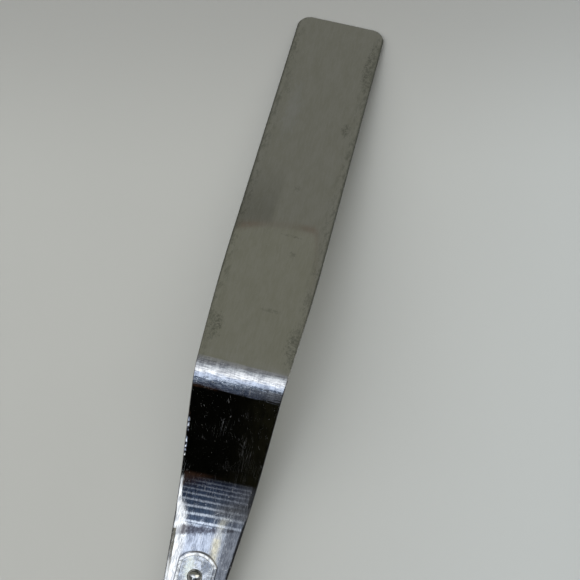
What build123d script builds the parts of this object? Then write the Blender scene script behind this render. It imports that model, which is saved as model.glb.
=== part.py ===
from build123d import *

import os
from math import asin, atan2, cos, degrees, hypot, radians, sin

# An offset spatula, lying face up at rest: it stands on the blade's tip and on the grip's butt.
# +Z is up, +Y points from the grip to the tip, and the origin is under the middle of its length.

# Blade sheet, measured along the sheet
sheet_thickness = 1.0
blade_width = 38.1
tip_corner_radius = 5.5
parallel_length = 111.0  # the stretch of the blade that keeps its full width
flat_length = 165.2  # tip to the corner of the offset bend
offset_length = 52.1  # offset corner to neck corner
offset_bend = 40.0  # degrees, down from the blade
neck_bend = 24.0  # degrees, back up from the offset section
offset_bend_radius = 16.0
neck_bend_radius = 68.0
heel_half_width = 17.3
neck_half_width = 14.6
tail_half_width = 9.6
tail_corner_radius = 4.0
edge_radius = 0.3
trim = 2.0  # the blank is this much longer at each end before it is cut to its outline

# Distances along the neck, from the neck corner towards the butt
strap_front = 20.8
neck_rivet_places = (29.9, 49.3)
tail_end = 58.0
grip_front = 63.0
butt_end = 176.0

# Strap and tang, one plate
strap_thickness = 2.0
strap_half_width = 7.4
strap_nose_rise = 4.1
strap_bevel_width = 1.1
strap_bevel_depth = 0.1
strap_run_under_grip = 4.0
flare_start = 46.0

# Neck rivets
neck_rivet_radius = 1.6
dome_radius = 3.0
dome_height = 1.7
set_head_radius = 2.8
set_head_height = 0.9

# Grip
scale_thickness = 8.0
ramp_length = 22.0
ramp_front_height = 5.2
grip_edge_radius = 4.5
grip_front_half_width = 9.5
grip_belly_half_width = 11.8
grip_waist_half_width = 10.6
grip_butt_half_width = 13.4
grip_flare = (1, -4)  # the direction in which the sides leave the grip's front
belly_share = 0.33  # of the grip's length
waist_share = 0.62
butt_bulge = 4.0
butt_corner_radius = 6.0
front_corner_radius = 5.0

# Grip rivets, places measured from the grip's front
grip_rivet_places = {"front": 27.0, "middle": 55.0, "rear": 82.0}
grip_head_radius = 4.0
grip_head_height = 1.8
barrel_radius = 2.8
post_radius = 1.8
shank_gap = 0.6  # each half stops this far short of the other's head

# Hanging hole, place measured from the butt
hang_hole_place = 13.0
hang_hole_radius = 4.0
grommet_wall = 0.8
grommet_flange_radius = 6.4
grommet_flange_height = 0.8
grommet_lip_radius = 0.4


def along(start, length, descent):
    """The point in the side view that lies length from start, towards the butt, at descent degrees."""
    return (start[0] - length * cos(radians(descent)), start[1] - length * sin(radians(descent)))


def side_view(pitch):
    """The sheet's middle line as tip, offset corner and neck corner, with the neck's descent."""
    tip = (0.0, 0.0)
    heel = along(tip, flat_length, -pitch)
    corner = along(heel, offset_length, offset_bend - pitch)
    return tip, heel, corner, offset_bend - neck_bend - pitch


def rest_pitch():
    """The angle at which the tip's lower edge and the butt's rounded lower edge share one level."""
    tip, heel, corner, descent = side_view(0.0)
    edge_centre = along(corner, butt_end - grip_edge_radius, descent)
    drop = scale_thickness - sheet_thickness / 2 - grip_edge_radius
    reach = tip[0] - edge_centre[0] - drop * sin(radians(descent))
    fall = tip[1] - sheet_thickness / 2 - edge_centre[1] + drop * cos(radians(descent))
    return degrees(atan2(fall, reach) + asin(grip_edge_radius / hypot(fall, reach)))


pitch = rest_pitch()
tip, heel, corner, neck_descent = side_view(pitch)
butt = along(corner, butt_end, neck_descent)
shift_y = -(tip[0] + butt[0]) / 2
shift_z = sheet_thickness / 2 / cos(radians(pitch))
tip, heel, corner = ((y + shift_y, z + shift_z) for y, z in (tip, heel, corner))
tail = along(corner, tail_end, neck_descent)
shoulder = along(tip, parallel_length, -pitch)

# The neck's own plane: local y points to the tip, so places behind the corner are negative.
neck_normal = (0, -sin(radians(neck_descent)), cos(radians(neck_descent)))
neck_plane = Plane(origin=(0, *corner), x_dir=(1, 0, 0), z_dir=neck_normal)
neck_axis = Axis(neck_plane.origin, neck_plane.z_dir)
strap_bottom = neck_plane.offset(sheet_thickness / 2)
strap_top = strap_bottom.offset(strap_thickness)
grip_top = strap_top.offset(scale_thickness)
grip_bottom = strap_bottom.offset(-scale_thickness)
grip_depth = strap_thickness + 2 * scale_thickness

# Centres of the holes through the neck and the grip, on the neck's plane
neck_rivet_spots = [(0, -place) for place in neck_rivet_places]
grip_rivet_spots = [(0, -grip_front - place) for place in grip_rivet_places.values()]
hang_spot = (0, -butt_end + hang_hole_place)
tube_radius = hang_hole_radius + grommet_wall

os.makedirs("parts", exist_ok=True)


def save(part, name):
    part.label = name
    export_step(part, f"parts/{name}.step")


# Blade: the side view swept across, then cut to the outline seen from above
blade_half_width = blade_width / 2
with BuildPart() as blade:
    with BuildSketch(Plane.YZ):
        with BuildLine():
            before_tip = along(tip, -trim, -pitch)
            past_tail = along(tail, trim, neck_descent)
            bends = [offset_bend_radius, neck_bend_radius]
            FilletPolyline(before_tip, heel, corner, past_tail, radius=bends)
        trace(line_width=sheet_thickness)
    extrude(amount=blade_width, both=True)
    with BuildSketch() as blade_outline:
        with BuildLine():
            Line((0, tip[0]), (blade_half_width, tip[0]))
            Line((blade_half_width, tip[0]), (blade_half_width, shoulder[0]))
            Spline(
                (blade_half_width, shoulder[0]),
                (heel_half_width, heel[0]),
                (neck_half_width, corner[0]),
                (tail_half_width, tail[0]),
                tangents=[(0, -1), (tail_half_width - neck_half_width, tail[0] - corner[0])],
            )
            Line((tail_half_width, tail[0]), (0, tail[0]))
            mirror(about=Plane.YZ)
        make_face()
        fillet(blade_outline.vertices().group_by(Axis.Y)[-1], radius=tip_corner_radius)
        fillet(blade_outline.vertices().group_by(Axis.Y)[0], radius=tail_corner_radius)
    extrude(amount=2 * flat_length, mode=Mode.INTERSECT)
    long_edges = blade.edges().filter_by(Axis.X, reverse=True).filter_by(Axis.Z, reverse=True)
    fillet(long_edges, radius=edge_radius)
    with BuildSketch(neck_plane):
        with Locations(*neck_rivet_spots):
            Circle(neck_rivet_radius)
    extrude(amount=sheet_thickness, both=True, mode=Mode.SUBTRACT)
save(blade.part, "blade")

# Outline of the grip and of the tang inside it, on the neck's plane
grip_length = butt_end - grip_front
butt_corner = (grip_butt_half_width, -butt_end + butt_bulge)
with BuildSketch() as grip_outline:
    with BuildLine():
        Line((0, -grip_front), (grip_front_half_width, -grip_front))
        Spline(
            (grip_front_half_width, -grip_front),
            (grip_belly_half_width, -grip_front - belly_share * grip_length),
            (grip_waist_half_width, -grip_front - waist_share * grip_length),
            butt_corner,
            tangents=[grip_flare, (0, -1)],
        )
        mirror(about=Plane.YZ)
        ThreePointArc(butt_corner, (0, -butt_end), (-butt_corner[0], butt_corner[1]))
    make_face()
    fillet(grip_outline.vertices().group_by(Axis.Y)[0], radius=butt_corner_radius)
    fillet(grip_outline.vertices().group_by(Axis.Y)[-1], radius=front_corner_radius)

# Strap: the plate on the neck, with a shallow bevelled rim, which widens into the tang between the scales
with BuildPart() as handle_strap:
    with BuildSketch(strap_bottom):
        with BuildLine():
            strap_shoulder = -strap_front - strap_nose_rise
            side = Line((strap_half_width, strap_shoulder), (strap_half_width, -flare_start))
            flare_end = (grip_front_half_width - strap_bevel_width, -grip_front - strap_run_under_grip)
            Spline(side @ 1, flare_end, tangents=[(0, -1), grip_flare])
            Line(flare_end, (0, flare_end[1]))
            mirror(about=Plane.YZ)
            ThreePointArc(side @ 0, (0, -strap_front), (-strap_half_width, strap_shoulder))
        make_face()
    extrude(amount=strap_thickness)
    top_face = handle_strap.faces().sort_by(neck_axis)[-1]
    chamfer(top_face.edges(), length=strap_bevel_width, length2=strap_bevel_depth, reference=top_face)
    with BuildSketch(strap_bottom):
        add(grip_outline.sketch)
    extrude(amount=strap_thickness)
    with BuildSketch(strap_bottom):
        with Locations(*neck_rivet_spots):
            Circle(neck_rivet_radius)
        with Locations(*grip_rivet_spots):
            Circle(barrel_radius)
        with Locations(hang_spot):
            Circle(tube_radius)
    extrude(amount=strap_thickness, mode=Mode.SUBTRACT)
save(handle_strap.part, "handle_strap")

# Neck rivets: a dome on the strap, a shank through strap and neck, and a set head underneath
stack = strap_thickness + sheet_thickness
for name, spot in zip(("front", "rear"), neck_rivet_spots):
    centre = strap_top.from_local_coords((*spot, 0))
    with BuildPart() as neck_rivet:
        with BuildSketch(Plane(origin=centre, x_dir=(1, 0, 0), z_dir=-neck_plane.y_dir)):
            with BuildLine():
                Line((0, -stack - set_head_height), (0, dome_height))
                TangentArc((0, dome_height), (dome_radius, 0), tangent=(1, 0))
                Polyline(
                    (dome_radius, 0),
                    (neck_rivet_radius, 0),
                    (neck_rivet_radius, -stack),
                    (set_head_radius, -stack),
                    (set_head_radius - set_head_height / 2, -stack - set_head_height),
                    (0, -stack - set_head_height),
                )
            make_face()
        revolve(axis=Axis(centre, neck_plane.z_dir))
    save(neck_rivet.part, f"{name}_neck_rivet")

# Grip scales: the lower one is the upper one mirrored about the tang
grip_side = Plane(origin=strap_top.origin, x_dir=neck_plane.y_dir, z_dir=(1, 0, 0))
with BuildPart() as upper_scale:
    with BuildSketch(strap_top):
        add(grip_outline.sketch)
    extrude(amount=scale_thickness)
    with BuildSketch(grip_side):
        with BuildLine():
            ramp_top = (-grip_front - ramp_length, scale_thickness)
            ramp_foot = (-grip_front, ramp_front_height)
            TangentArc(ramp_top, ramp_foot, tangent=(1, 0))
            Polyline(ramp_foot, (-grip_front, scale_thickness), ramp_top)
        make_face()
    extrude(amount=blade_width, both=True, mode=Mode.SUBTRACT)
    level_edges = upper_scale.edges().filter_by(neck_axis, reverse=True)
    base_edges = level_edges.group_by(neck_axis)[0]
    rim_edges = (level_edges - base_edges).filter_by(Axis.X, reverse=True)
    fillet(rim_edges, radius=grip_edge_radius)
    with BuildSketch(strap_top):
        with Locations(*grip_rivet_spots):
            Circle(barrel_radius)
        with Locations(hang_spot):
            Circle(tube_radius)
    extrude(amount=scale_thickness, mode=Mode.SUBTRACT)
    with BuildSketch(grip_top):
        with Locations(*grip_rivet_spots):
            Circle(grip_head_radius)
    extrude(amount=-grip_head_height, mode=Mode.SUBTRACT)
    with BuildSketch(grip_top):
        with Locations(hang_spot):
            Circle(grommet_flange_radius)
    extrude(amount=-grommet_flange_height, mode=Mode.SUBTRACT)
save(upper_scale.part, "upper_scale")

with BuildPart() as lower_scale:
    mirror(upper_scale.part, about=strap_bottom.offset(strap_thickness / 2))
save(lower_scale.part, "lower_scale")

# Grip rivets: a tubular half from below and a solid half pressed into it from above
shank_length = grip_depth - 2 * grip_head_height - shank_gap
for name, spot in zip(grip_rivet_places, grip_rivet_spots):
    with BuildPart() as rivet_barrel:
        with BuildSketch(grip_bottom):
            with Locations(spot):
                Circle(grip_head_radius)
        extrude(amount=grip_head_height)
        with BuildSketch(grip_bottom.offset(grip_head_height)):
            with Locations(spot):
                Circle(barrel_radius)
                Circle(post_radius, mode=Mode.SUBTRACT)
        extrude(amount=shank_length)
    save(rivet_barrel.part, f"{name}_rivet_barrel")
    with BuildPart() as rivet_post:
        with BuildSketch(grip_top):
            with Locations(spot):
                Circle(grip_head_radius)
        extrude(amount=-grip_head_height)
        with BuildSketch(grip_top.offset(-grip_head_height)):
            with Locations(spot):
                Circle(post_radius)
        extrude(amount=-shank_length)
    save(rivet_post.part, f"{name}_rivet_post")

# Hanging hole lining: a flanged tube whose far end is rolled over a washer
hang_centre = grip_bottom.from_local_coords((*hang_spot, 0))
hang_side = Plane(origin=hang_centre, x_dir=(1, 0, 0), z_dir=-neck_plane.y_dir)
roll_height = grommet_flange_height / 2
roll_radius = (tube_radius + grommet_flange_radius) / 2
with BuildPart() as hang_grommet:
    with BuildSketch(hang_side):
        with BuildLine():
            Polyline(
                (hang_hole_radius, 0),
                (roll_radius, 0),
                (roll_radius, roll_height),
                (tube_radius, roll_height),
                (tube_radius, grip_depth - grommet_flange_height),
                (grommet_flange_radius, grip_depth - grommet_flange_height),
                (grommet_flange_radius, grip_depth),
                (hang_hole_radius, grip_depth),
                close=True,
            )
        make_face()
    revolve(axis=Axis(hang_centre, neck_plane.z_dir))
    mouths = hang_grommet.edges().filter_by(GeomType.CIRCLE).group_by(SortBy.RADIUS)[0]
    fillet(mouths, radius=grommet_lip_radius)
save(hang_grommet.part, "hang_grommet")

with BuildPart() as hang_grommet_washer:
    with BuildSketch(hang_side):
        with BuildLine():
            Polyline(
                (tube_radius, roll_height),
                (roll_radius, roll_height),
                (roll_radius, 0),
                (grommet_flange_radius, 0),
                (grommet_flange_radius, grommet_flange_height),
                (tube_radius, grommet_flange_height),
                close=True,
            )
        make_face()
    revolve(axis=Axis(hang_centre, neck_plane.z_dir))
save(hang_grommet_washer.part, "hang_grommet_washer")
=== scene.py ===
from math import cos, pi, radians

import bpy
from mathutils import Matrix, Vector


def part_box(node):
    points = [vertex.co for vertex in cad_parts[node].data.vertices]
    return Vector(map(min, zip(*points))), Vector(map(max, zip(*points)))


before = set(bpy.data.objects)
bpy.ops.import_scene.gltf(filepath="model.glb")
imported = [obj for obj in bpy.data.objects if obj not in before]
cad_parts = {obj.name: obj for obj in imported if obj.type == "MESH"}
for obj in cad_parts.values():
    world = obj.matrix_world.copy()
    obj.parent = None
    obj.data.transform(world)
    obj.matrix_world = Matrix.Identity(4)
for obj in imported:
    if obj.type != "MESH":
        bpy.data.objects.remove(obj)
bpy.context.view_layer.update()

MM = 0.001

# Places along the spatula from its tip back, millimetres. Each bend has its own twist
TIP_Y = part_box("blade")[1].y / MM
HEEL_Y = TIP_Y - 160.7
TWIST_1_END_Y = 23.4
TWIST_2_START_Y = 8.0
NECK_Y = TIP_Y - 207.3
STRAP_NOSE_Y = NECK_Y - 20.8

# The sheet: each taper is a slope, a half width and the place that has it
BLADE_PITCH = radians(13.4)
BLADE_HALF_WIDTH = 19.05
TAPERS = (
    (0.033, 17.3, HEEL_Y),
    (0.0578, 14.6, NECK_Y),
    (0.0873, 9.6, NECK_Y - 57.2),
)
BEND_1_RADIUS = 16.0
BEND_2_RADIUS = 68.0

# How far the hand-bent sheet's surface leans, as slopes
CROWN_PER_MM = 0.007
EDGE_ROLL = 0.095
EDGE_NICKS = 0.45
BEND_TWIST = 0.06

# The strap's front end, millimetres
STRAP_HALF_WIDTH = 7.4
STRAP_NOSE_RADIUS = 8.7
STRAP_NOSE_RISE = 4.1
STRAP_BEVEL = 1.1

# Camera, placed from the tip of the blade: it looks almost straight down from the grip's side
EYE_RIGHT = 38.6 * MM
EYE_BEHIND_TIP = 164.4 * MM
EYE_HEIGHT = 360.2 * MM
EYE_TILT = (radians(8.23), radians(3.14), radians(14.37))
LENS_MM = 54.1
SENSOR_MM = 36.0
NEAR_CLIP = 10.0 * MM

# The lamp and the sheet on the table, metres and watts
LAMP_PLACE = (-0.65, -0.30, 1.35)
LAMP_TARGET = (0.0, 0.02, 0.0)
LAMP_SIZE = 2.2
LAMP_POWER = 20.0
LAMP_COLOUR = (1.0, 0.985, 0.95)
FLOOR_SIZE = 6.0

# Steel, linear. The tints are what the wear multiplies it by, at its darkest and brightest
STEEL = (0.64, 0.64, 0.64)
STAIN = (0.35, 0.36, 0.35)
PALE_STEEL = (0.67, 0.68, 0.72)
BRIGHT_STEEL = (0.74, 0.74, 0.73)
DULL_STEEL = (0.34, 0.35, 0.35)
# Painted reflection: the warm glint on the strap by the front rivet
WARM_GLINT_STEEL = (0.86, 0.85, 0.70)
DARK_STEEL = (0.16, 0.175, 0.20)
DULL_BAR = (0.042, 0.037, 0.048)
# Painted shade: the dark of the strap's seam, of the sheet's rounded edges and of the bevel's inner
# edge
PAINTED_SHADE = (0.05, 0.05, 0.05)
BRUSHED_TINTS = ((0.94, 0.94, 0.91), (1.045, 1.045, 1.055))
POLISHED_TINTS = ((0.50, 0.51, 0.54), (1.18, 1.18, 1.17))

# Wood, brass and the floor's paper with its painted light and shade, linear
WOOD_DARK = (0.040, 0.015, 0.008)
WOOD_PALE = (0.170, 0.068, 0.032)
WOOD_FIGURE = (0.10, 0.036, 0.016)
WOOD_WORN = (0.23, 0.105, 0.055)
WOOD_PORE = (0.016, 0.007, 0.004)
BRASS = (0.62, 0.42, 0.17)
BRASS_TARNISH = (0.30, 0.18, 0.07)
BRASS_SCRATCH = (0.80, 0.62, 0.32)
PAPER_LOW = (0.478, 0.485, 0.466)
PAPER_HIGH = (0.508, 0.515, 0.496)
PAPER_LIT_COOL = (0.585, 0.612, 0.612)
PAPER_SHADED = (0.30, 0.30, 0.295)

# The room, linear radiance. Places in it are tangents of the angle from straight up: across to
# the right, ahead past the blade's tip, and behind past the grip.
CEILING = (0.208, 0.208, 0.167)
FAR_CEILING = (0.045, 0.045, 0.040)
WALL = (0.191, 0.191, 0.160)
CORNICE = (0.160, 0.132, 0.102)
BLACK = (0.0, 0.0, 0.0)
WINDOW_BRIGHT = (1.75, 1.82, 1.88)
LAMP_WARM = (1.14, 1.10, 0.86)
CEILING_LAMP = (1.35, 1.32, 1.18)
CURTAIN = (0.185, 0.200, 0.230)
DUSK = (0.165, 0.170, 0.180)
SIDE_WALL = (0.28, 0.275, 0.24)
FRAME_DARK = (0.03, 0.032, 0.036)
FLOOR_DARK = (0.0015, 0.0015, 0.0010)
FLOOR_OLIVE = (0.0085, 0.0082, 0.0045)
SHELF_BROWN = (0.034, 0.018, 0.012)
FAR_WALL = (0.10, 0.10, 0.095)
SIDE_ROOM = (0.19, 0.19, 0.18)
HORIZON = (0.34, 0.34, 0.33)

# The ceiling's edge: its furthest place ahead, its bow, and the corner past which it drops away
EDGE_ACROSS = -0.106
EDGE_AHEAD = 0.7795
EDGE_BOW = -2.2
EDGE_CORNER = 0.007
EDGE_DROP = -210.0

# Places behind and the colour there: the window, the blind's slats, and the gaps between them
WINDOW_PROFILE = (
    (-0.56, CEILING),
    (-0.32, (0.29, 0.30, 0.32)),
    (-0.16, (0.68, 0.73, 0.79)),
    (-0.02, (1.14, 1.19, 1.27)),
    (0.12, (1.62, 1.68, 1.75)),
    (0.20, (1.02, 1.13, 1.34)),
    (0.27, (0.90, 1.03, 1.29)),
    (0.38, (0.86, 1.00, 1.26)),
)
SLAT_LIGHT = (
    (0.40, (1.15, 1.30, 1.55)),
    (0.52, (0.80, 0.91, 1.07)),
    (0.62, (0.54, 0.61, 0.73)),
    (0.72, (0.34, 0.39, 0.48)),
    (0.90, (0.20, 0.23, 0.29)),
    (1.07, (0.13, 0.15, 0.19)),
)
SLAT_GAP = (
    (0.46, (0.12, 0.17, 0.27)),
    (0.57, (0.065, 0.10, 0.165)),
    (0.67, (0.048, 0.072, 0.122)),
    (0.80, (0.038, 0.056, 0.098)),
    (1.03, (0.024, 0.033, 0.060)),
)
PROFILE_LOW = -0.60
PROFILE_HIGH = 1.20
SLAT_START = 0.37
SLAT_END = 1.10
SLAT_SHIFT = 0.430
SLAT_PITCH = 0.1115
SLAT_GROWTH = 0.12

# Stains on the blade: x and distance from the tip, half width, half length (mm), strength
BLADE_STAINS = (
    (16.6, 20.5, 3.0, 14.0, 1.00),
    (13.6, 52.2, 2.0, 3.8, 0.80),
    (17.0, 129.0, 1.8, 4.0, 0.70),
    (16.3, 148.0, 3.2, 8.0, 0.95),
    (-15.0, 147.0, 3.4, 6.5, 1.00),
    (6.5, 111.4, 1.4, 1.5, 0.60),
    (4.5, 104.0, 4.5, 0.6, 0.55),
    (1.0, 82.9, 1.3, 1.8, 0.50),
    (-15.0, 38.5, 1.6, 2.6, 0.60),
    (4.0, 136.0, 4.6, 0.9, 0.55),
)

# Patches (mm): x and distance from the tip on the blade, x and y on the strap, then half sizes. The
# strap's warm patch is a painted glint
PALE_STREAK = (-10.0, 49.5, 3.4, 14.5)
WARM_GLINT_PATCH = (-2.9, STRAP_NOSE_Y - 6.5, 1.9, 5.5)
DARK_PATCH = (3.4, STRAP_NOSE_Y - 4.6, 1.9, 2.4)


# ---------------------------------------------------------------- node helpers


class Tree:
    """A short way to add and link shader nodes."""

    def __init__(self, tree):
        self.tree = tree
        tree.nodes.clear()

    def add(self, kind, inputs=None, **settings):
        node = self.tree.nodes.new(kind)
        for name, value in settings.items():
            setattr(node, name, value)
        for name, value in (inputs or {}).items():
            self.set(node.inputs[name], value)
        return node

    def set(self, socket, value):
        if isinstance(value, bpy.types.NodeSocket):
            self.tree.links.new(value, socket)
        elif isinstance(value, tuple) and len(value) == 3 and socket.type == "RGBA":
            socket.default_value = (*value, 1.0)
        else:
            socket.default_value = value

    def axes(self, vector):
        """The vector's X, Y and Z."""
        return self.add("ShaderNodeSeparateXYZ", {"Vector": vector}).outputs

    def math(self, operation, a, b=0.0, c=0.0):
        return self.add("ShaderNodeMath", {0: a, 1: b, 2: c}, operation=operation).outputs[0]

    def plus(self, a, b):
        return self.math("ADD", a, b)

    def minus(self, a, b):
        return self.math("SUBTRACT", a, b)

    def times(self, a, b):
        return self.math("MULTIPLY", a, b)

    def larger(self, a, b):
        return self.math("MAXIMUM", a, b)

    def absolute(self, value):
        return self.math("ABSOLUTE", value)

    def line(self, value, slope, start):
        """slope times value, plus start."""
        return self.math("MULTIPLY_ADD", value, slope, start)

    def bell(self, value, width):
        """1 where value is zero, falling away as a Gaussian of this width."""
        scaled = self.times(value, 1.0 / width)
        return self.math("EXPONENT", self.times(self.times(scaled, scaled), -0.5))

    def ramp(self, value, low, high, start=0.0, end=1.0):
        """start below low, end above high, and a smooth step between."""
        inputs = {"Value": value, "From Min": low, "From Max": high, "To Min": start, "To Max": end}
        node = self.add("ShaderNodeMapRange", inputs, interpolation_type="SMOOTHSTEP")
        return node.outputs["Result"]

    def fall(self, value, low, high):
        """1 below low, 0 above high, and a smooth step between."""
        return self.ramp(value, low, high, 1.0, 0.0)

    def band(self, value, low, high, soft):
        """1 between low and high, fading over soft at each end."""
        rise = self.ramp(value, low - soft, low + soft)
        return self.times(rise, self.fall(value, high - soft, high + soft))

    def mix(self, share, a, b, blend="MIX"):
        node = self.add("ShaderNodeMix", data_type="RGBA", blend_type=blend)
        self.set(node.inputs["Factor"], share)
        self.set(node.inputs[6], a)
        self.set(node.inputs[7], b)
        return node.outputs[2]

    def profile(self, value, stops):
        """A colour that runs through the stops, each a value and a colour."""
        span = PROFILE_HIGH - PROFILE_LOW
        node = self.add("ShaderNodeValToRGB", {0: self.line(value, 1.0 / span, -PROFILE_LOW / span)})
        marks = node.color_ramp.elements
        while len(marks) < len(stops):
            marks.new(1.0)
        for mark, (place, colour) in zip(marks, stops):
            mark.position = (place - PROFILE_LOW) / span
            mark.color = (*colour, 1.0)
        return node.outputs[0]

    def noise(self, place, scale, detail=2.0, roughness=0.5, distortion=0.0):
        inputs = {"Vector": place, "Scale": scale, "Detail": detail, "Roughness": roughness,
                  "Distortion": distortion}
        return self.add("ShaderNodeTexNoise", inputs).outputs["Fac"]

    def stretch(self, place, scale, turn=0.0, shift=(0.0, 0.0, 0.0)):
        """place turned about Z, then scaled apart along each axis."""
        turned = self.add("ShaderNodeMapping", {"Vector": place, "Rotation": (0.0, 0.0, turn)})
        inputs = {"Vector": turned.outputs[0], "Location": shift, "Scale": scale}
        return self.add("ShaderNodeMapping", inputs).outputs["Vector"]

    def grain(self, place, scale, detail=2.0, roughness=0.5, distortion=0.0):
        """Noise with its own scale along each axis."""
        return self.noise(self.stretch(place, scale), 1.0, detail, roughness, distortion)

    def spot(self, across, along, shape, wobble):
        """A soft-edged patch: its place, half width and half length, with a ragged edge."""
        x, y, half_width, half_length = shape
        side = self.line(across, 1.0 / half_width, -x / half_width)
        end = self.line(along, 1.0 / half_length, -y / half_length)
        distance = self.math("SQRT", self.plus(self.times(side, side), self.times(end, end)))
        return self.fall(self.plus(distance, wobble), 0.55, 1.15)

    def bump(self, height, strength, distance, normal=None, invert=False):
        inputs = {"Height": height, "Strength": strength, "Distance": distance}
        if normal is not None:
            inputs["Normal"] = normal
        return self.add("ShaderNodeBump", inputs, invert=invert).outputs[0]


def new_material(name):
    """An empty material's tree, with the place on the object in millimetres."""
    material = bpy.data.materials.new(name)
    material.use_nodes = True
    tree = Tree(material.node_tree)
    place = tree.add("ShaderNodeTexCoord").outputs["Object"]
    scaled = tree.add("ShaderNodeVectorMath", {0: place}, operation="SCALE")
    scaled.inputs["Scale"].default_value = 1.0 / MM
    return material, tree, scaled.outputs[0]


def finish_material(tree, colour, roughness, normal, metallic=0.0):
    """Closes a material with one Principled shader."""
    inputs = {"Base Color": colour, "Metallic": metallic, "Roughness": roughness, "Normal": normal}
    shader = tree.add("ShaderNodeBsdfPrincipled", inputs)
    tree.add("ShaderNodeOutputMaterial", {"Surface": shader.outputs[0]})


def paint(name, material):
    """Puts a material on a CAD node."""
    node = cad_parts[name]
    node.data.materials.clear()
    node.data.materials.append(material)
    for polygon in node.data.polygons:
        polygon.material_index = 0


# ---------------------------------------------------------------- the room that the steel reflects


def ceiling(tree, across, ahead):
    """The ceiling over the blade, the wall past its rounded edge, and a dim corner at the left."""
    middle = tree.minus(across, EDGE_ACROSS)
    edge = tree.line(tree.times(middle, middle), EDGE_BOW, EDGE_AHEAD)
    right = tree.larger(tree.minus(middle, EDGE_CORNER), 0.0)
    edge = tree.line(tree.times(right, right), EDGE_DROP, edge)
    past = tree.minus(ahead, edge)
    colour = tree.mix(tree.ramp(past, -0.002, 0.002), CEILING, WALL)

    red = tree.ramp(across, -0.195, -0.165, 1.0, 0.35)
    red = tree.plus(red, tree.ramp(across, -0.125, -0.108, 0.0, 0.5))
    colour = tree.mix(tree.times(tree.band(past, 0.001, 0.011, 0.003), red), colour, CORNICE)
    dim = tree.times(tree.ramp(past, 0.008, 0.012), tree.ramp(ahead, 0.79, 0.92, 0.23, 0.0))
    dim = tree.times(dim, tree.fall(across, -0.166, -0.160))
    return tree.mix(dim, colour, BLACK)


def blinds(tree, behind):
    """The window's slats, brighter near the top of the window."""
    grown = tree.times(behind, tree.line(behind, SLAT_GROWTH, 1.0))
    turns = tree.line(grown, 2.0 * pi / SLAT_PITCH, -2.0 * pi * SLAT_SHIFT / SLAT_PITCH)
    wave = tree.math("COSINE", turns)
    light = tree.profile(behind, SLAT_LIGHT)
    gap = tree.profile(behind, SLAT_GAP)
    return tree.mix(tree.ramp(wave, 0.15, 1.0), gap, light)


def window_left(tree, across, behind, window):
    """The pane without a blind at the window's left, and the side wall beside the pane's top."""
    below_top = tree.ramp(behind, 0.18, 0.26)
    pane_edge = tree.ramp(behind, 0.34, 0.42, -0.250, -0.295)
    pane_edge = tree.plus(pane_edge, tree.ramp(behind, 0.50, 0.72, 0.0, 0.035))
    pane = tree.times(tree.fall(tree.minus(across, pane_edge), -0.02, 0.02), below_top)
    pane = tree.times(pane, tree.ramp(behind, 0.75, 1.10, 0.9, 0.6))
    window = tree.mix(pane, window, WINDOW_BRIGHT)
    beside = tree.times(tree.fall(across, -0.37, -0.33), tree.fall(behind, 0.30, 0.36))
    return tree.mix(tree.times(beside, below_top), window, SIDE_WALL)


def window_right(tree, across, behind, window):
    """A warm streak, a curtain, dim slats and the window's dark frame."""
    streak = tree.times(tree.band(across, -0.058, -0.008, 0.012), tree.band(behind, 0.22, 0.52, 0.04))
    streak = tree.times(streak, tree.ramp(behind, 0.28, 0.34, 0.9, 0.4))
    window = tree.mix(streak, window, LAMP_WARM)
    curtain = tree.times(tree.ramp(across, -0.014, 0.02), tree.ramp(behind, 0.10, 0.24))
    curtain = tree.times(curtain, tree.ramp(behind, 0.36, 0.44, 0.85, 0.60))
    window = tree.mix(curtain, window, CURTAIN)
    dusk = tree.times(tree.ramp(across, -0.150, -0.080, 0.0, 0.75), tree.ramp(behind, 0.42, 0.60))
    window = tree.mix(dusk, window, DUSK)
    both_sides = tree.plus(tree.ramp(across, 0.20, 0.26), tree.fall(across, -0.62, -0.53))
    window = tree.mix(tree.times(both_sides, tree.ramp(behind, 0.18, 0.26)), window, FRAME_DARK)
    jamb = tree.times(tree.ramp(across, -0.115, -0.060, 0.0, 0.9), tree.ramp(behind, 0.55, 0.80))
    return tree.mix(jamb, window, FRAME_DARK)


def below_window(tree, across, behind, window):
    """The dark that the offset reflects, a brown shelf, and the far and side walls of the room."""
    low = tree.mix(tree.ramp(across, -0.20, -0.12), FLOOR_DARK, FLOOR_OLIVE)
    window = tree.mix(tree.ramp(behind, SLAT_END - 0.05, SLAT_END + 0.12), window, low)
    shelf = tree.times(tree.fall(across, -0.210, -0.190), tree.band(behind, 0.92, 1.27, 0.06))
    shelf = tree.times(shelf, tree.ramp(across, -0.34, -0.30, 0.0, 0.9))
    window = tree.mix(shelf, window, SHELF_BROWN)
    window = tree.mix(tree.ramp(behind, 2.1, 2.8), window, FAR_WALL)
    sides = tree.ramp(tree.absolute(across), 0.6, 1.1)
    return tree.mix(tree.times(sides, 0.8), window, SIDE_ROOM)


def overhead(tree, across, ahead, colour):
    """The ceiling's dim far end, the pale room past it, and a lamp that the rivets reflect."""
    colour = tree.mix(tree.ramp(ahead, 1.30, 1.90), colour, FAR_CEILING)
    colour = tree.mix(tree.ramp(ahead, 3.0, 4.5), colour, HORIZON)
    lamp_ahead = tree.line(across, -0.35, ahead)
    lamp = tree.times(tree.band(across, 0.12, 1.30, 0.05), tree.band(lamp_ahead, -0.16, 0.36, 0.05))
    return tree.mix(lamp, colour, CEILING_LAMP)


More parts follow.
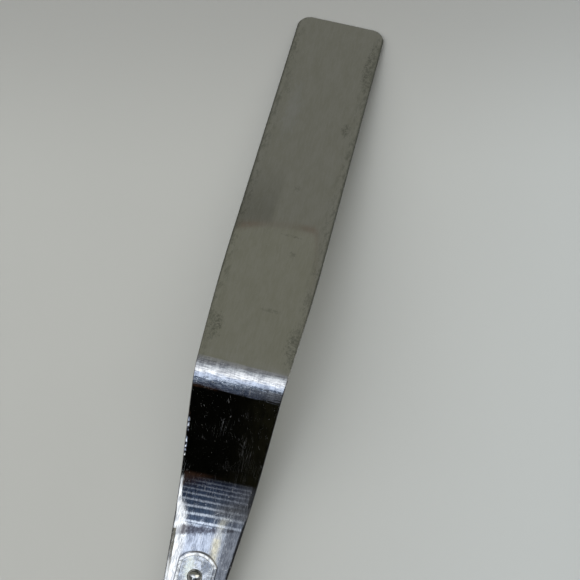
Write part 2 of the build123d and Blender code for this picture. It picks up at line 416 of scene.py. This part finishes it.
def room_light():
    """The room, painted on a plane overhead, and a plain pale grey near the horizon."""
    world = bpy.data.worlds.new("room")
    bpy.context.scene.world = world
    world.use_nodes = True
    tree = Tree(world.node_tree)
    direction = tree.axes(tree.add("ShaderNodeTexCoord").outputs["Generated"])
    up = tree.larger(direction["Z"], 0.05)
    across = tree.math("DIVIDE", direction["X"], up)
    ahead = tree.math("DIVIDE", direction["Y"], up)
    behind = tree.times(ahead, -1.0)

    window = tree.profile(behind, WINDOW_PROFILE)
    window = tree.mix(tree.ramp(behind, SLAT_START, SLAT_START + 0.02), window, blinds(tree, behind))
    window = window_left(tree, across, behind, window)
    window = window_right(tree, across, behind, window)
    window = below_window(tree, across, behind, window)
    colour = tree.mix(tree.ramp(behind, -0.60, -0.54), ceiling(tree, across, ahead), window)
    colour = overhead(tree, across, ahead, colour)
    colour = tree.mix(tree.ramp(direction["Z"], 0.05, 0.15), HORIZON, colour)
    background = tree.add("ShaderNodeBackground", {"Color": colour})
    tree.add("ShaderNodeOutputWorld", {"Surface": background.outputs[0]})


# ---------------------------------------------------------------- lamp, floor and camera


def key_light():
    """A large soft lamp from the left, behind the camera. The steel reflects only the room."""
    data = bpy.data.lights.new("key", "AREA")
    data.shape = "RECTANGLE"
    data.size = LAMP_SIZE
    data.size_y = LAMP_SIZE
    data.energy = LAMP_POWER
    data.color = LAMP_COLOUR
    lamp = bpy.data.objects.new("key", data)
    bpy.context.scene.collection.objects.link(lamp)
    lamp.location = LAMP_PLACE
    towards = Vector(LAMP_TARGET) - Vector(LAMP_PLACE)
    lamp.rotation_euler = towards.to_track_quat("-Z", "Y").to_euler()
    lamp.visible_glossy = False


def floor():
    """A plain pale sheet under the spatula, with painted light, brighter and cooler, at the right and
    painted shade past the tip.
    """
    bpy.ops.mesh.primitive_plane_add(size=FLOOR_SIZE, location=(0.0, 0.0, 0.0))
    sheet = bpy.context.object
    sheet.name = "floor"
    material, tree, place = new_material("floor_paper")
    axes = tree.axes(place)
    colour = tree.mix(tree.noise(place, 0.012, 3.0), PAPER_LOW, PAPER_HIGH)
    # Painted light: the paper brighter and cooler towards the right
    colour = tree.mix(tree.ramp(axes["X"], -20.0, 155.0), colour, PAPER_LIT_COOL)
    # Painted shade: the paper darker past the tip
    past_tip = tree.line(axes["X"], -0.256, axes["Y"])
    colour = tree.mix(tree.ramp(past_tip, 115.0, 225.0, 0.0, 0.56), colour, PAPER_SHADED)
    normal = tree.bump(tree.noise(place, 1.5, 4.0), 0.05, 0.0002)
    finish_material(tree, colour, 0.7, normal)
    sheet.data.materials.append(material)


def camera():
    """The photograph's view of the blade, the offset and the neck."""
    data = bpy.data.cameras.new("camera")
    data.lens = LENS_MM
    data.sensor_width = SENSOR_MM
    data.clip_start = NEAR_CLIP
    eye = bpy.data.objects.new("camera", data)
    bpy.context.scene.collection.objects.link(eye)
    eye.location = (EYE_RIGHT, TIP_Y * MM - EYE_BEHIND_TIP, EYE_HEIGHT)
    eye.rotation_euler = EYE_TILT
    bpy.context.scene.camera = eye


# ---------------------------------------------------------------- the shape of the sheet and the strap


def edge_distance(tree, x, y):
    """How far inside the sheet's long edges: parallel blade, then three tapers."""
    half_width = BLADE_HALF_WIDTH
    for slope, taper_half_width, place in TAPERS:
        taper = tree.line(y, slope, taper_half_width - slope * place)
        half_width = tree.math("MINIMUM", taper, half_width)
    return tree.minus(half_width, tree.absolute(x))


def sheet_tilt(tree, place, x, y, edge):
    """How the hand-bent sheet leans away from its true surface: across, then along."""
    crown = tree.times(tree.times(x, CROWN_PER_MM), tree.fall(y, NECK_Y - 10.0, NECK_Y + 2.0))
    outward = tree.times(tree.math("SIGN", x), tree.ramp(edge, 0.2, 2.0, EDGE_ROLL, 0.0))
    roll = tree.times(outward, tree.fall(y, NECK_Y + 10.0, NECK_Y + 18.0))
    across = tree.plus(crown, roll)

    bend_1 = tree.ramp(y, TWIST_1_END_Y, TWIST_1_END_Y + 3.8)
    bend_1 = tree.times(bend_1, tree.fall(y, HEEL_Y + 2.0, HEEL_Y + 8.0))
    skew = tree.times(tree.times(x, -BEND_TWIST / BEND_1_RADIUS), bend_1)
    bend_2 = tree.fall(y, TWIST_2_START_Y - 6.0, TWIST_2_START_Y)
    bend_2 = tree.times(bend_2, tree.ramp(y, NECK_Y - 16.0, NECK_Y - 8.0))
    skew = tree.plus(skew, tree.times(tree.times(x, BEND_TWIST / BEND_2_RADIUS), bend_2))

    hammered = tree.grain(place, (1.8, 0.45, 0.45), 4.0, 0.65)
    hammering = tree.plus(tree.times(bend_1, 0.05), tree.ramp(y, 4.0, 16.0, 0.014, 0.0))
    uneven = tree.times(tree.minus(hammered, 0.5), hammering)
    ground = tree.grain(place, (0.22, 2.1, 2.1), 3.0, 0.6)
    uneven = tree.plus(uneven, tree.times(tree.minus(ground, 0.5), tree.times(bend_1, 0.22)))

    nicked = tree.ramp(tree.noise(place, 0.8, 2.0), 0.42, 0.56)
    on_offset = tree.times(tree.band(y, -1.0, 13.0, 3.0), tree.fall(x, -9.0, -8.0))
    nicks = tree.times(tree.times(nicked, on_offset), tree.ramp(edge, 0.4, 1.2, EDGE_NICKS, 0.0))
    return across, tree.plus(tree.plus(skew, uneven), nicks)


def leaned(tree, across, along):
    """The surface normal, leaned by small slopes across and along the spatula."""
    normal = tree.add("ShaderNodeNewGeometry").outputs["Normal"]
    slope = tree.add("ShaderNodeCombineXYZ", {"X": across, "Y": along})
    added = tree.add("ShaderNodeVectorMath", {0: normal, 1: slope.outputs[0]}, operation="ADD")
    return tree.add("ShaderNodeVectorMath", {0: added.outputs[0]}, operation="NORMALIZE").outputs[0]


def strap_gap(tree, x, y):
    """The distance outside the strap's outline, negative on the strap."""
    from_centre = tree.minus(y, STRAP_NOSE_Y - STRAP_NOSE_RADIUS)
    squares = tree.plus(tree.times(x, x), tree.times(from_centre, from_centre))
    nose = tree.line(tree.math("SQRT", squares), 1.0, -STRAP_NOSE_RADIUS)
    side = tree.minus(tree.absolute(x), STRAP_HALF_WIDTH)
    shoulder = STRAP_NOSE_Y - STRAP_NOSE_RISE
    on_nose = tree.ramp(y, shoulder - 0.05, shoulder + 0.05)
    return tree.plus(tree.times(nose, on_nose), tree.times(side, tree.minus(1.0, on_nose)))


# ---------------------------------------------------------------- the blade's steel


def scratches(tree, place, turn, fineness, share, shift=0.0):
    """Thin broken lines, turned away from the length, as a mask."""
    lines = tree.stretch(place, (fineness, 0.035, 0.035), turn, (shift, shift, shift))
    thin = tree.bell(tree.minus(tree.noise(lines, 1.0, 0.0), 0.5), 0.012)
    patches = tree.ramp(tree.noise(place, 0.11, 1.0, 0.5, shift), 0.62 - share, 0.72 - share)
    return tree.times(thin, patches)


def seam(tree, x, y):
    """A dark line of painted shade on the neck along the strap's edge, a little off it at the left."""
    gap = tree.minus(strap_gap(tree, x, y), tree.ramp(x, -6.0, -1.0, 0.42, 0.0))
    return tree.times(tree.bell(gap, 0.20), tree.fall(y, STRAP_NOSE_Y + 0.8, STRAP_NOSE_Y + 1.8))


def dull_bar(tree, x, y, place):
    """A dull, ragged bar across the neck where the second bend ends, broken right of the middle."""
    off_middle = tree.absolute(tree.minus(y, tree.line(x, 0.21, NECK_Y - 12.2)))
    ragged = tree.grain(place, (1.1, 0.6, 0.6), 5.0, 0.75)
    off_middle = tree.plus(off_middle, tree.line(ragged, 5.0, -2.5))
    past = tree.minus(off_middle, tree.line(x, -0.08, 1.5))
    bar = tree.times(tree.fall(past, -1.1, 0.5), tree.band(x, -10.5, 10.5, 1.5))
    gap = tree.band(x, 3.6, 5.6, 1.0)
    bar = tree.times(bar, tree.ramp(gap, 0.0, 1.0, 1.0, 0.4))
    blotch = tree.grain(place, (0.9, 0.7, 0.7), 5.0, 0.7)
    return tree.times(bar, tree.ramp(blotch, 0.36, 0.56, 0.62, 1.0))


def blade_stain(tree, x, y, place, ragged):
    """Smudges and darker metal along both long edges as one mask, and a pale streak as another."""
    from_tip = tree.line(y, -1.0 / cos(BLADE_PITCH), TIP_Y / cos(BLADE_PITCH))
    wobble = tree.line(tree.grain(place, (0.9, 0.5, 0.5), 5.0, 0.7), 2.6, -1.3)
    edge = tree.minus(BLADE_HALF_WIDTH, tree.absolute(x))
    rim = tree.fall(tree.line(ragged, -1.2, edge), -0.3, 0.6)
    speckle = tree.ramp(tree.grain(place, (0.55, 0.25, 0.25), 6.0, 0.8), 0.46, 0.62)
    near_edge = tree.times(tree.ramp(edge, 0.0, 6.0, 0.80, 0.0), speckle)
    stain = tree.larger(rim, near_edge)
    patchy = tree.ramp(tree.noise(place, 0.7, 6.0, 0.9), 0.44, 0.58)
    for *shape, strength in BLADE_STAINS:
        mark = tree.times(tree.spot(x, from_tip, shape, wobble), patchy)
        stain = tree.larger(stain, tree.times(mark, strength))
    return stain, tree.times(tree.spot(x, from_tip, PALE_STREAK, wobble), 0.6)


def blade_wear(tree, place, y, brushed):
    """A tint: streaks and clouds on the brushed flat, smears and hairlines on the polished part."""
    streaks = tree.grain(place, (1.5, 0.22, 0.22), 4.0, 0.7)
    clouds = tree.grain(place, (0.22, 0.10, 0.10), 5.0, 0.7)
    mottle = tree.plus(tree.times(streaks, 0.45), tree.times(clouds, 0.55))
    mottle = tree.mix(tree.ramp(mottle, 0.36, 0.64), *BRUSHED_TINTS)
    smears = tree.grain(place, (0.5, 0.20, 0.20), 5.0, 0.75)
    hairs = tree.grain(place, (3.2, 0.30, 0.30), 3.0, 0.70)
    cross_hairs = tree.grain(place, (0.25, 2.8, 2.8), 3.0, 0.70)
    hairs = tree.plus(hairs, tree.times(tree.ramp(y, 22.0, 25.0), tree.minus(cross_hairs, hairs)))
    worn = tree.plus(tree.times(smears, 0.5), tree.times(hairs, 0.5))
    worn = tree.mix(tree.ramp(worn, 0.38, 0.60), *POLISHED_TINTS)
    return tree.mix(brushed, worn, mottle)


def blade_colour(tree, x, y, place, brushed, stain, pale, edge):
    """Stains and wear on the steel, then the dull bar, and painted shade along the strap's seam and on
    the rounded long edges, darker at the right.
    """
    colour = tree.mix(tree.times(stain, brushed), STEEL, STAIN)
    colour = tree.mix(tree.times(pale, brushed), colour, PALE_STEEL)
    colour = tree.mix(1.0, colour, blade_wear(tree, place, y, brushed), "MULTIPLY")
    colour = tree.mix(tree.times(dull_bar(tree, x, y, place), 0.92), colour, DULL_BAR)
    # Painted shade along the strap's edge on the neck
    colour = tree.mix(tree.times(seam(tree, x, y), 0.85), colour, PAINTED_SHADE)
    # Painted shade and dark reflection on the rounded long edges: twice as dark at the right, and half
    # as dark on the brushed flat
    rim = tree.times(tree.ramp(edge, 0.15, 0.50, 0.7, 0.0), tree.ramp(x, -1.0, 1.0, 0.5, 1.0))
    rim = tree.times(rim, tree.ramp(brushed, 0.0, 1.0, 1.0, 0.5))
    return tree.mix(rim, colour, PAINTED_SHADE)


def blade_roughness(tree, place, brushed, stain):
    """Rougher along scratches, which run three ways, and on stains."""
    lines = scratches(tree, place, 0.03, 1.6, 0.12)
    lines = tree.larger(lines, scratches(tree, place, 0.9, 1.2, 0.03, 4.0))
    lines = tree.larger(lines, scratches(tree, place, -0.45, 1.4, 0.06, 9.0))
    lines = tree.times(lines, tree.ramp(brushed, 0.0, 1.0, 1.0, 0.35))
    roughness = tree.plus(tree.ramp(brushed, 0.0, 1.0, 0.028, 0.034), tree.times(lines, 0.26))
    return tree.plus(roughness, tree.times(stain, 0.06))


def blade_steel():
    """Brushed flat, polished from the offset bend on, with stains and scratches."""
    material, tree, place = new_material("blade_steel")
    axes = tree.axes(place)
    x = axes["X"]
    y = axes["Y"]
    ragged = tree.noise(place, 0.45, 4.0, 0.6)
    brushed = tree.ramp(tree.line(ragged, 2.0, y), HEEL_Y + 5.0, HEEL_Y + 7.5)
    stain, pale = blade_stain(tree, x, y, place, ragged)
    edge = edge_distance(tree, x, y)
    colour = blade_colour(tree, x, y, place, brushed, stain, pale, edge)
    roughness = blade_roughness(tree, place, brushed, stain)

    across, along = sheet_tilt(tree, place, x, y, edge)
    fine = tree.grain(place, (5.0, 0.5, 0.5))
    height = tree.times(fine, tree.ramp(brushed, 0.0, 1.0, 1.0, 0.10))
    normal = tree.bump(height, 0.5, 0.000006, leaned(tree, across, along))
    finish_material(tree, colour, roughness, normal, metallic=1.0)
    return material


# ---------------------------------------------------------------- the strap's and rivets' steel


def strap_shade_glint_and_patch(tree, place, colour):
    """Painted shade along the bevel's inner edge, and a painted warm glint and a dark patch by the
    front rivet.
    """
    axes = tree.axes(place)
    x = axes["X"]
    y = axes["Y"]
    # Painted shade in the crease at the bevel's inner edge
    bevel_edge = tree.bell(tree.plus(strap_gap(tree, x, y), STRAP_BEVEL), 0.13)
    faint = tree.ramp(tree.noise(place, 0.35, 3.0), 0.35, 0.60, 0.35, 0.80)
    colour = tree.mix(tree.times(bevel_edge, faint), colour, PAINTED_SHADE)
    wobble = tree.line(tree.noise(place, 0.9, 4.0, 0.7), 2.2, -1.1)
    # A painted warm glint by the front rivet, and a dark patch
    for shape, patch in ((WARM_GLINT_PATCH, WARM_GLINT_STEEL), (DARK_PATCH, DARK_STEEL)):
        colour = tree.mix(tree.times(tree.spot(x, y, shape, wobble), 0.75), colour, patch)
    return colour


def polished_steel(name, waviness, marked=False):
    """Polished steel with a wavy, blotchy face, and with the strap's painted shade, painted glint and
    dark patch if marked.
    """
    material, tree, place = new_material(name)
    blotch = tree.noise(place, 0.42, 5.0, 0.62, 0.8)
    colour = tree.mix(tree.ramp(blotch, 0.42, 0.60, 0.0, 0.85), BRIGHT_STEEL, DULL_STEEL)
    if marked:
        colour = strap_shade_glint_and_patch(tree, place, colour)
    lines = scratches(tree, place, 0.05, 1.7, 0.14, 2.0)
    lines = tree.larger(lines, scratches(tree, place, 0.8, 1.5, 0.10, 6.0))
    roughness = tree.plus(tree.ramp(blotch, 0.35, 0.65, 0.05, 0.20), tree.times(lines, 0.2))
    wave = tree.grain(place, (0.8, 0.45, 0.45), 4.0, 0.6, 0.5)
    height = tree.plus(tree.times(wave, waviness), tree.times(lines, -0.02))
    normal = tree.bump(height, 1.0, 0.0001)
    finish_material(tree, colour, roughness, normal, metallic=1.0)
    return material


# ---------------------------------------------------------------- wood and brass


def wood():
    """Dark oiled hardwood: long grain, open pores, and paler where the hand has worn it."""
    material, tree, place = new_material("grip_wood")
    axes = tree.axes(place)
    bent_x = tree.line(tree.noise(place, 0.02, 2.0), 14.0, axes["X"])
    bent = tree.add("ShaderNodeCombineXYZ", {"X": bent_x, "Y": axes["Y"], "Z": axes["Z"]}).outputs[0]
    grain = tree.grain(bent, (0.55, 0.018, 0.55), 5.0, 0.62, 0.5)
    figure = tree.grain(bent, (2.6, 0.05, 2.6), 4.0, 0.7)
    pores = tree.ramp(tree.grain(place, (7.0, 0.30, 7.0)), 0.60, 0.70)
    colour = tree.mix(tree.ramp(grain, 0.32, 0.68), WOOD_DARK, WOOD_PALE)
    colour = tree.mix(tree.times(figure, 0.45), colour, WOOD_FIGURE)
    worn = tree.ramp(tree.noise(place, 0.05, 3.0), 0.48, 0.72, 0.0, 0.30)
    colour = tree.mix(worn, colour, WOOD_WORN)
    colour = tree.mix(tree.times(pores, 0.75), colour, WOOD_PORE)
    roughness = tree.plus(tree.ramp(figure, 0.3, 0.7, 0.36, 0.50), tree.times(pores, 0.25))
    height = tree.plus(tree.times(figure, 0.3), tree.times(pores, -1.0))
    finish_material(tree, colour, roughness, tree.bump(height, 0.6, 0.00008))
    return material


def brass():
    """Dulled brass: brown tarnish in patches and fine scratches from handling."""
    material, tree, place = new_material("rivet_brass")
    cloud = tree.noise(place, 0.5, 4.0, 0.6, 0.8)
    colour = tree.mix(tree.ramp(cloud, 0.42, 0.68), BRASS, BRASS_TARNISH)
    lines = scratches(tree, place, 0.3, 2.2, 0.20, 1.0)
    lines = tree.larger(lines, scratches(tree, place, -0.7, 2.0, 0.16, 5.0))
    colour = tree.mix(tree.times(lines, 0.5), colour, BRASS_SCRATCH)
    roughness = tree.plus(tree.ramp(cloud, 0.35, 0.7, 0.24, 0.42), tree.times(lines, 0.1))
    normal = tree.bump(lines, 0.4, 0.00002, invert=True)
    finish_material(tree, colour, roughness, normal, metallic=1.0)
    return material


# ---------------------------------------------------------------- assembly


def paint_all():
    paint("blade", blade_steel())
    paint("handle_strap", polished_steel("strap_steel", 0.9, marked=True))
    rivet = polished_steel("rivet_steel", 0.25)
    for place in ("front", "rear"):
        paint(f"{place}_neck_rivet", rivet)
    timber = wood()
    for side in ("upper", "lower"):
        paint(f"{side}_scale", timber)
    yellow = brass()
    for place in ("front", "middle", "rear"):
        for half in ("barrel", "post"):
            paint(f"{place}_rivet_{half}", yellow)
    for piece in ("hang_grommet", "hang_grommet_washer"):
        paint(piece, yellow)


paint_all()
room_light()
key_light()
floor()
camera()
bpy.context.scene.view_settings.view_transform = "Standard"
